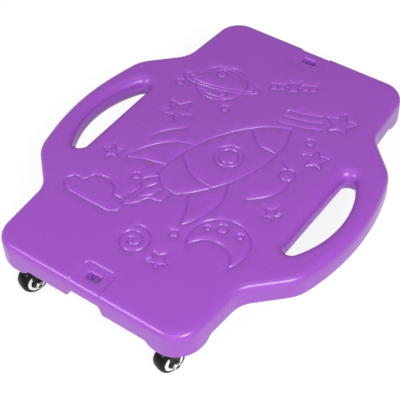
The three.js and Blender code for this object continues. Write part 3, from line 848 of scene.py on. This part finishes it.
def core_body():
    """The moulded wheel core, whose two rims show as white rings inside the tyre."""
    half = [(CORE_BORE, HUB_HALF, 0.4), (HUB_RADIUS, HUB_HALF, 0.6), (HUB_RADIUS, CORE_WEB, 1.2),
            (CORE_RIM, CORE_WEB, 1.2), (CORE_RIM, RING_FACE, 0.4), (CORE_RIM + 0.9, RING_FACE, 0.8),
            (CORE_RADIUS - 0.3, CORE_HALF + 0.4, 0.5), (CORE_RADIUS, CORE_HALF - 0.2, 0.3)]
    return on_axle(*ring(half + [(r, -z, size) for r, z, size in half[::-1]]))


def guard_body(side):
    """A dished cover over the wheel's hub, with a collar round the axle."""
    vertices, faces = ring([
        (GUARD_BORE, GUARD_FROM, 0.2), (GUARD_RADIUS, GUARD_FROM, 0.2), (GUARD_RADIUS, GUARD_FACE - 0.1, 0.4),
        (DISH_OUTER, GUARD_FACE, 0.6), (DISH_INNER, GUARD_FACE - DISH_DEPTH, 0.6),
        (GUARD_COLLAR, GUARD_FACE - 0.6, 0.6),
        (GUARD_COLLAR, GUARD_TO, 0.5), (GUARD_BORE, GUARD_TO, 0.2),
    ])
    return on_axle(vertices * [1, side, side], faces)


def bolt_body():
    """The axle bolt: a low domed head with a hexagon socket, and a plain shank."""
    face = -ARM_OUTSIDE - GAP
    back = face - BOLT_HEAD_THICK
    bottom = back + BOLT_SOCKET_DEPTH
    socket = hexagon(BOLT_SOCKET)
    dome = rounded([(3.4, back, 0), (BOLT_HEAD - 0.4, back, 1.6), (BOLT_HEAD, face, 0.5),
                    (AXLE_RADIUS, face, 0)])
    end = ARM_OUTSIDE + GAP + NUT_THICK - NUT_PAST_AXLE
    point = [(AXLE_RADIUS, end - 0.7), (AXLE_RADIUS - 0.7, end), (1.1, end), (0, end - 0.6)]
    mouth = [(0, bottom), (socket, bottom), (socket, back + 0.15), (hexagon(BOLT_SOCKET + 0.2), back)]
    return on_axle(*turned(mouth + dome + point))


def nut_body():
    """A chamfered hexagon nut with a round collar for its locking ring."""
    start = ARM_OUTSIDE + GAP
    end = start + NUT_THICK
    top = end - NUT_DOME
    flat = NUT_CORNER * math.cos(math.pi / 6)
    narrow, wide, full = hexagon(flat, flat - 0.1), hexagon(flat, flat + 0.35), hexagon(flat)
    section = [(NUT_BORE, start + 0.3), (NUT_BORE + 0.3, start), (narrow, start), (wide, start + 0.3),
               (full, start + 0.75), (full, top - 0.75), (wide, top - 0.3), (narrow, top)]
    collar = rounded([(NUT_CORNER - 1.0, top + 0.02, 0), (NUT_CORNER - 1.1, end, 0.9), (NUT_BORE, end, 0.35),
                      (NUT_BORE, start + 2, 0)])
    return on_axle(*turned(section + collar, closed=True))


def kingpin_body():
    """The rivet that the fork swivels on, with a domed head at each end."""
    low = CROWN_BOTTOM - GAP
    high = PLATE_TOP + GAP
    arc = degrees(0, 84, 8)
    dome = [(RIVET_HEAD * math.sin(a), low - RIVET_LOW_HEAD * math.cos(a)) for a in arc]
    cap = [(RIVET_HEAD * math.sin(a), high + RIVET_TOP_HEAD * math.cos(a)) for a in arc[::-1]]
    shank = [(RIVET_HEAD, low), (RIVET_SHANK, low), (RIVET_SHANK, high), (RIVET_HEAD, high)]
    return turned(dome + shank + cap)


def race_body():
    """Two pressed cups that face each other across the balls."""
    middle = (CROWN_TOP + PLATE_BOTTOM) / 2
    vertices, faces = ring([
        (RACE_INNER, RACE_HALF - 0.9, 0.2), (BALL_RING - 1.1, 0.62, 0.3), (BALL_RING, 0.95, 1.0),
        (BALL_RING + 1.1, 0.62, 0.3), (RACE_OUTER, 0.3, 0.2), (RACE_OUTER, RACE_HALF, 0.4),
        (RACE_INNER, RACE_HALF, 0.2),
    ], steps=3)
    return joined((vertices * [1, side, side] + [0, 0, middle], faces) for side in (1, -1))


def fork_blank():
    """The flat blank that the fork is pressed from, as loops in (across, along), its holes after its edge."""
    arm_start = ARM_OUTSIDE - FORK_BEND
    drop = arm_start + FORK_BEND * math.pi / 2
    axle = drop + CROWN_TOP - FORK_BEND - AXLE_HEIGHT
    turns = degrees(0, 180 + ARM_LEAN, 22)
    end = [(axle + ARM_END * math.sin(a), -TRAIL - ARM_END * math.cos(a)) for a in turns]
    back = [(axle - 10.5, -5.2, 14), (drop + 1, ARM_BACK - 3, 7), (arm_start - 1, ARM_BACK, 5)]
    disc = [(CROWN_RADIUS * math.sin(a), CROWN_RADIUS * math.cos(a)) for a in degrees(38, 0, 7)]
    right = [(0, end[0][1]), *end[:-1]]
    right += rounded([(*end[-1], 0), *back, (*disc[0], 0)], steps=8) + disc[1:]
    left = [(-u, y) for u, y in right[::-1]][1:-1]
    edge = spaced(np.array(right + left), closed=True, step=FORK_STEP)[:-1]
    holes = [circle_row(0, 0, RIVET_SHANK + GAP, FORK_HOLE_SIDES)]
    holes += [circle_row(side * axle, -TRAIL, ARM_HOLE, FORK_HOLE_SIDES) for side in (1, -1)]
    return [edge, *holes], arm_start, drop


def fork_object(name, material):
    """The fork: its blank bent down at both sides into arms, given its thickness and eased edges."""
    loops, arm_start, drop = fork_blank()
    rows = []
    for side in (1, -1):
        for share in np.linspace(0, 1, BEND_ROWS):
            u = side * (arm_start + (drop - arm_start) * share)
            along = np.linspace(*BEND_ROW_ENDS, BEND_ROW_POINTS)
            rows.append((np.column_stack([np.full(BEND_ROW_POINTS, u), along]), False))
    loops = [lifted(loop, 0) for loop in loops]
    blank, faces = field(loops, rows, [], lambda p: np.zeros(len(p)), True)
    u, y = np.abs(blank[:, 0]), blank[:, 1]
    side = np.sign(blank[:, 0])
    angle = np.clip((u - arm_start) / FORK_BEND, 0, math.pi / 2)
    x = np.minimum(u, arm_start) + FORK_BEND * np.sin(angle)
    z = CROWN_TOP - FORK_BEND * (1 - np.cos(angle)) - np.maximum(u - drop, 0)
    made = mesh_object(name, np.column_stack([side * x, y, z]), faces, material, "black_steel")
    solidify = made.modifiers.new("thickness", "SOLIDIFY")
    solidify.thickness = FORK_THICK * MM
    solidify.offset = -1
    bevel = made.modifiers.new("eased edges", "BEVEL")
    bevel.width = FORK_EASE * MM
    bevel.segments = 3
    bevel.angle_limit = FORK_EASE_ANGLE
    mesh = evaluated(made)
    made.modifiers.clear()
    made.data = mesh
    smoothed(mesh)
    return made


def plate_object(name, material):
    """The mounting plate: a flat pressing with rounded corners, screw holes and rolled edges."""
    ease = PLATE_EASE
    loops = [box_row(0, 0, PLATE_HALF_X, PLATE_HALF_Y, PLATE_CORNER, -ease, PLATE_STEP)]
    loops.append(circle_row(0, 0, PLATE_HOLE + ease, PLATE_HOLE_SIDES))
    for i, j in SIGNS:
        loops.append(circle_row(i * SCREW_X, j * SCREW_Y, SCREW_HOLE + ease, SCREW_HOLE_SIDES))
    outline = bpy.data.curves.new(name, "CURVE")
    outline.dimensions = "2D"
    outline.fill_mode = "BOTH"
    for loop in loops:
        spline = outline.splines.new("POLY")
        spline.points.add(len(loop) - 1)
        for point, (x, y) in zip(spline.points, loop):
            point.co = (x * MM, y * MM, 0, 1)
        spline.use_cyclic_u = True
    outline.extrude = (PLATE_THICK / 2 - ease) * MM
    outline.bevel_depth = ease * MM
    outline.bevel_resolution = 2
    temporary = linked(name, outline)
    mesh = evaluated(temporary)
    bpy.data.objects.remove(temporary)
    mesh.transform(Matrix.Translation((0, 0, (PLATE_TOP + PLATE_BOTTOM) / 2 * MM)))
    return shown(name, mesh, material, "black_steel")


def screw_body():
    """A pan-head screw with a cross recess, its head below and its point up."""
    low = PLATE_BOTTOM - GAP - SCREW_HEAD_HEIGHT
    neck = low + SCREW_HEAD_HEIGHT
    top = neck + SCREW_LENGTH
    recess = [(0, low + 1.2), (cross(0.25, 1.3), low + 1.1), (cross(0.42, 2.0), low + 0.1),
              (cross(0.5, 2.1), low)]
    dome = rounded([(2.2, low, 0), (SCREW_HEAD - 0.5, low + 0.1, 1.4), (SCREW_HEAD, neck, 0.2),
                    (SCREW_SHANK, neck, 0)], steps=4)
    return turned([*recess, *dome, (SCREW_SHANK, top - 3), (0.2, top), (0, top)], sides=SCREW_SIDES)


def copied(name, source, sx, sy, turn):
    """A copy of a caster piece at a corner, its place in its mesh."""
    mesh = source.data.copy()
    mesh.name = name
    move = Matrix.Translation((sx * BOSS_X * MM, sy * BOSS_Y * MM, 0))
    mesh.transform(move @ Matrix.Rotation(turn, 4, "Z"))
    made = linked(name, mesh)
    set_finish(made, source["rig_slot"])
    return made


# Nodes
def fed(made, inputs):
    """A node whose inputs, by name or number, are given values or the outputs that feed them."""
    for socket, value in inputs.items():
        if isinstance(value, bpy.types.NodeSocket):
            made.id_data.links.new(value, made.inputs[socket])
        else:
            made.inputs[socket].default_value = value
    return made


def add_node(tree, kind, inputs):
    return fed(tree.nodes.new(kind), inputs)


def node_tree(name, inputs):
    """A geometry tree with the named inputs between Geometry and Material, and what its input node gives."""
    tree = bpy.data.node_groups.new(name, "GeometryNodeTree")
    for label, kind in {"Geometry": "Geometry", **inputs, "Material": "Material"}.items():
        tree.interface.new_socket(label, in_out="INPUT", socket_type="NodeSocket" + kind)
    tree.interface.new_socket("Geometry", in_out="OUTPUT", socket_type="NodeSocketGeometry")
    return tree, tree.nodes.new("NodeGroupInput").outputs


def spread(tree, points, piece):
    """Copies of a piece at points."""
    return add_node(tree, "GeometryNodeInstanceOnPoints", {"Points": points, "Instance": piece}).outputs[0]


def ended(tree, geometry, material):
    """The tree, once its copies are real and have their material."""
    real = add_node(tree, "GeometryNodeRealizeInstances", {"Geometry": geometry}).outputs[0]
    paint = add_node(tree, "GeometryNodeSetMaterial", {"Geometry": real, "Material": material}).outputs[0]
    add_node(tree, "NodeGroupOutput", {"Geometry": paint})
    return tree


def grid_of_grids():
    """Copies a piece over a small grid, and that group over a large one."""
    kinds = {"Group X": "Float", "Group Y": "Float", "Corner X": "Float", "Corner Y": "Float"}
    tree, given = node_tree("screws in groups at the corners", kinds)
    piece = given["Geometry"]
    for which in ("Group", "Corner"):
        size = {"Size X": given[which + " X"], "Size Y": given[which + " Y"]}
        grid = add_node(tree, "GeometryNodeMeshGrid", {"Vertices X": 2, "Vertices Y": 2, **size})
        piece = spread(tree, grid.outputs["Mesh"], piece)
    return ended(tree, piece, given["Material"])


def ring_of_balls():
    """Balls spaced evenly round a circle."""
    kinds = {"Ring Radius": "Float", "Ball Radius": "Float", "Height": "Float", "Count": "Int"}
    tree, given = node_tree("balls round a race", kinds)
    ring_inputs = {"Vertices": given["Count"], "Radius": given["Ring Radius"]}
    ball_inputs = {"Segments": 20, "Rings": 12, "Radius": given["Ball Radius"]}
    circle = add_node(tree, "GeometryNodeMeshCircle", ring_inputs).outputs["Mesh"]
    height = add_node(tree, "ShaderNodeCombineXYZ", {"Z": given["Height"]}).outputs["Vector"]
    lift = add_node(tree, "GeometryNodeSetPosition", {"Geometry": circle, "Offset": height})
    ball = add_node(tree, "GeometryNodeMeshUVSphere", ball_inputs).outputs["Mesh"]
    return ended(tree, spread(tree, lift.outputs["Geometry"], ball), given["Material"])


def grown(name, start, tree, values, material):
    """The plain mesh of bright steel that a geometry tree makes from a starting mesh."""
    seed = linked(name, start)
    modifier = seed.modifiers.new(tree.name, "NODES")
    modifier.node_group = tree
    values = {**values, "Material": material}
    for item in tree.interface.items_tree:
        if item.in_out == "INPUT" and item.name in values:
            modifier[item.identifier] = values[item.name]
    mesh = evaluated(seed)
    bpy.data.objects.remove(seed)
    return shown(name, mesh, material, "bright_steel")


# Finishes: each has its colour, roughness and relief from noise on Object coordinates
def noise(tree, scale, detail):
    """A noise value, its scale in waves per metre."""
    place = add_node(tree, "ShaderNodeTexCoord", {}).outputs["Object"]
    made = add_node(tree, "ShaderNodeTexNoise", {"Vector": place, "Scale": scale, "Detail": detail})
    return made.outputs["Fac"]


DRIFT_DETAIL, WEAR_DETAIL, GRAIN_DETAIL = 4.0, 5.0, 2.0
WEAR_SCALE, WEAR_FROM, WEAR_TO = 6, 0.3, 0.7


def finish(name, colours, roughness, patches, grains, constants):
    """A finish that drifts between two colours and two roughnesses, with layers of relief.
    patches is the drift's scale; grains are (scale, height in mm, strength), from coarse to fine."""
    made = bpy.data.materials.new(name)
    made.use_nodes = True
    tree = made.node_tree
    mix = tree.nodes.new("ShaderNodeMix")
    mix.data_type = "RGBA"
    drift = noise(tree, patches, DRIFT_DETAIL)
    fed(mix, {"Factor": drift, "A": (*colours[0], 1), "B": (*colours[1], 1)})
    wear = add_node(tree, "ShaderNodeMapRange", {
        "Value": noise(tree, patches * WEAR_SCALE, WEAR_DETAIL), "From Min": WEAR_FROM,
        "From Max": WEAR_TO, "To Min": roughness[0], "To Max": roughness[1],
    })
    relief = {}
    for scale, height, strength in grains:
        grain = {"Strength": strength, "Distance": height * MM, "Height": noise(tree, scale, GRAIN_DETAIL)}
        relief = {"Normal": add_node(tree, "ShaderNodeBump", {**relief, **grain}).outputs["Normal"]}
    painted = {"Base Color": mix.outputs["Result"], "Roughness": wear.outputs["Result"]}
    fed(tree.nodes["Principled BSDF"], {**constants, **painted, **relief})
    return made


def seeing_rays(tree):
    """1 for camera, glossy and transmission rays, otherwise 0."""
    path = tree.nodes.new("ShaderNodeLightPath").outputs
    total = path["Is Camera Ray"]
    for other in ("Is Glossy Ray", "Is Transmission Ray"):
        larger = add_node(tree, "ShaderNodeMath", {0: total, 1: path[other]})
        larger.operation = "MAXIMUM"
        total = larger.outputs["Value"]
    return total


def white_to_eyes(name, colour, camera_glow, camera_diffuse):
    """A plain surface that camera, glossy and transmission rays see as nearly white, with soft shadows."""
    made = bpy.data.materials.new(name)
    made.use_nodes = True
    tree = made.node_tree
    tree.nodes.clear()
    greys = [{"Color": (level, level, level, 1)} for level in (colour, camera_diffuse)]
    plain, shade = (add_node(tree, "ShaderNodeBsdfDiffuse", grey).outputs["BSDF"] for grey in greys)
    glow = add_node(tree, "ShaderNodeEmission", {"Strength": camera_glow}).outputs["Emission"]
    seen = add_node(tree, "ShaderNodeAddShader", {0: shade, 1: glow}).outputs["Shader"]
    choice = add_node(tree, "ShaderNodeMixShader", {"Fac": seeing_rays(tree), 1: plain, 2: seen})
    add_node(tree, "ShaderNodeOutputMaterial", {"Surface": choice.outputs["Shader"]})
    return made


PURPLE = finish(
    "purple moulded plastic", ((0.313, 0.068, 0.498), (0.333, 0.076, 0.524)), (0.26, 0.3), 9.0,
    ((900, 0.05, 0.05),), {"IOR": 1.5},
)
BLACK_COAT = finish(
    "black coated steel", ((0.01, 0.01, 0.011), (0.018, 0.018, 0.02)), (0.26, 0.4), 60.0,
    ((500, 0.06, 0.35), (2400, 0.03, 0.4)), {"IOR": 1.5, "Specular IOR Level": 0.14},
)
ZINC = finish(
    "zinc plated steel", ((0.74, 0.75, 0.76), (0.84, 0.85, 0.86)), (0.26, 0.4), 120.0,
    ((1500, 0.03, 0.3),), {"Metallic": 1.0},
)
DARK_BOLT = finish(
    "dark oiled steel", ((0.045, 0.045, 0.05), (0.085, 0.085, 0.09)), (0.25, 0.4), 120.0,
    ((1500, 0.03, 0.3),), {"Metallic": 1.0},
)
TREAD = finish(
    "glossy black tread", ((0.006, 0.006, 0.007), (0.012, 0.012, 0.013)), (0.12, 0.2), 50.0,
    ((300, 0.08, 0.25),), {"IOR": 1.5, "Specular IOR Level": 0.13},
)
WHITE_CORE = finish(
    "white moulded core", ((0.9, 0.9, 0.89), (0.94, 0.94, 0.93)), (0.28, 0.4), 60.0,
    ((600, 0.06, 0.3),), {"IOR": 1.5},
)
BLACK_CAP = finish(
    "satin black plastic", ((0.01, 0.01, 0.011), (0.018, 0.018, 0.019)), (0.3, 0.45), 80.0,
    ((1200, 0.05, 0.4),), {"IOR": 1.5, "Specular IOR Level": 0.2},
)

# The board's pieces
moulding = deck_moulding(PURPLE)
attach(moulding, "deck")
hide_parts("deck")

fixed_pieces = (
    (plate_object("plate", BLACK_COAT), "mounting_pressing", "mounting_plate"),
    (mesh_object("pin", *kingpin_body(), ZINC, "bright_steel"), "domed_rivet", "kingpin"),
)
balls = grown(
    "balls", bpy.data.meshes.new("seed"), ring_of_balls(),
    {"Ring Radius": BALL_RING * MM, "Ball Radius": BALL_RADIUS * MM, "Count": BALL_COUNT,
     "Height": (CROWN_TOP + PLATE_BOTTOM) / 2 * MM},
    ZINC,
)

fork_pieces = (
    (fork_object("fork", BLACK_COAT), "pressed_yoke", "fork"),
    (mesh_object("cups", *race_body(), ZINC, "bright_steel"), "race_cups", "ball_race"),
    (balls, "race_balls", "ball_race"),
    (mesh_object("bolt", *bolt_body(), DARK_BOLT, "black_steel"), "domed_axle_bolt", "axle_bolt"),
    (mesh_object("nut", *nut_body(), ZINC, "bright_steel"), "lock_nut", "axle_nut"),
)
wheel_pieces = (
    (mesh_object("tyre", *tyre_body(), TREAD, "black_tyre"), "crowned_tyre", "tyre"),
    (mesh_object("core", *core_body(), WHITE_CORE, "white_plastic"), "white_core", "wheel_core"),
    (mesh_object("in", *guard_body(-1), BLACK_CAP, "black_plastic"), "inner_dish", "inner_thread_guard"),
    (mesh_object("out", *guard_body(1), BLACK_CAP, "black_plastic"), "outer_dish", "outer_thread_guard"),
)
for corner, sx, sy in CORNERS:
    for pieces, body, turn in ((fixed_pieces, "deck", 0.0), (fork_pieces, corner + "_fork", CASTER_TURN),
                               (wheel_pieces, corner + "_wheel", CASTER_TURN)):
        for source, piece, node in pieces:
            made = copied(f"{corner}_{piece}", source, sx, sy, turn)
            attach(made, body)
            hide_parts(f"{corner}_{node}")
for source, _, _ in (*fixed_pieces, *fork_pieces, *wheel_pieces):
    bpy.data.objects.remove(source)

screw = mesh_object("screw", *screw_body(), ZINC, "bright_steel")
screws = grown(
    "mounting_screws", screw.data, grid_of_grids(),
    {"Group X": 2 * SCREW_X * MM, "Group Y": 2 * SCREW_Y * MM, "Corner X": 2 * BOSS_X * MM,
     "Corner Y": 2 * BOSS_Y * MM},
    ZINC,
)
bpy.data.objects.remove(screw)
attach(screws, "deck")
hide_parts(*[f"{corner}_screw_{i}" for corner, _, _ in CORNERS for i in (1, 2, 3, 4)])

# Floor and background
FLOOR_HALF = 15.0
FLOOR_LEVEL, FLOOR_GLOW, FLOOR_SEEN_LEVEL = 0.8, 0.86, 0.2
AMBIENT, SEEN = 0.22, 0.45
floor_mesh = bpy.data.meshes.new("floor")
floor_corners = [(x * FLOOR_HALF, y * FLOOR_HALF, 0) for x, y in ((-1, -1), (1, -1), (1, 1), (-1, 1))]
floor_mesh.from_pydata(floor_corners, [], [(0, 1, 2, 3)])
floor_mesh.materials.append(white_to_eyes("pale floor", FLOOR_LEVEL, FLOOR_GLOW, FLOOR_SEEN_LEVEL))
floor = linked("floor", floor_mesh)

world = bpy.data.worlds.new("studio")
bpy.context.scene.world = world
world.use_nodes = True
sky = world.node_tree
level = add_node(sky, "ShaderNodeMapRange", {"Value": seeing_rays(sky), "To Min": AMBIENT, "To Max": SEEN})
fed(sky.nodes["Background"], {"Color": (1, 1, 1, 1), "Strength": level.outputs["Result"]})


def direction(azimuth, elevation):
    """A unit vector away from the board; azimuth 0 is the front, 90 the right."""
    a, e = math.radians(azimuth), math.radians(elevation)
    return Vector((math.sin(a) * math.cos(e), -math.cos(a) * math.cos(e), math.sin(e)))


# Softboxes that face the middle of the board: azimuth, elevation, width, height and power
LAMP_DISTANCE = 2.3
SOFTBOXES = (
    ("right softbox", 63, 41, 0.95, 0.72, 32),
    ("front softbox", 332, 39, 0.85, 0.6, 20),
    ("camera side panel", 38, 32, 2.2, 1.9, 13),
    ("overhead softbox", 200, 84, 1.0, 1.0, 3),
)
board_middle = Vector((0, 0, DECK_TOP * MM))
for name, azimuth, elevation, width, height, power in SOFTBOXES:
    lamp = bpy.data.lights.new(name, "AREA")
    lamp.shape = "RECTANGLE"
    lamp.size, lamp.size_y = width, height
    lamp.energy = power
    away = direction(azimuth, elevation)
    light = linked(name, lamp)
    light.location = board_middle + away * LAMP_DISTANCE
    light.rotation_euler = away.to_track_quat("Z", "Y").to_euler()

# Camera, from the photograph's perspective
CAMERA_AZIMUTH, CAMERA_ELEVATION, CAMERA_ROLL = 37.69, 46.46, math.radians(-2.53)
CAMERA_DISTANCE = 1.5076
PHOTO_SIZE, FOCAL_PIXELS = 400, 1088.61
BOARD_MIDDLE_PIXEL = (211.33, 158.44)
SENSOR_WIDTH = 36.0

back = direction(CAMERA_AZIMUTH, CAMERA_ELEVATION)
level_right = direction(CAMERA_AZIMUTH + 90, 0)
level_up = back.cross(level_right)
right = math.cos(CAMERA_ROLL) * level_right + math.sin(CAMERA_ROLL) * level_up
up = math.cos(CAMERA_ROLL) * level_up - math.sin(CAMERA_ROLL) * level_right
across, down = (CAMERA_DISTANCE * (at - PHOTO_SIZE / 2) / FOCAL_PIXELS for at in BOARD_MIDDLE_PIXEL)
place = board_middle - across * right + down * up + CAMERA_DISTANCE * back
camera_data = bpy.data.cameras.new("camera")
camera_data.sensor_width = SENSOR_WIDTH
camera_data.lens = FOCAL_PIXELS / PHOTO_SIZE * SENSOR_WIDTH
camera = linked("camera", camera_data)
camera.matrix_world = Matrix.Translation(place) @ Matrix((right, up, back)).transposed().to_4x4()
bpy.context.scene.camera = camera
bpy.context.scene.view_settings.view_transform = "Standard"
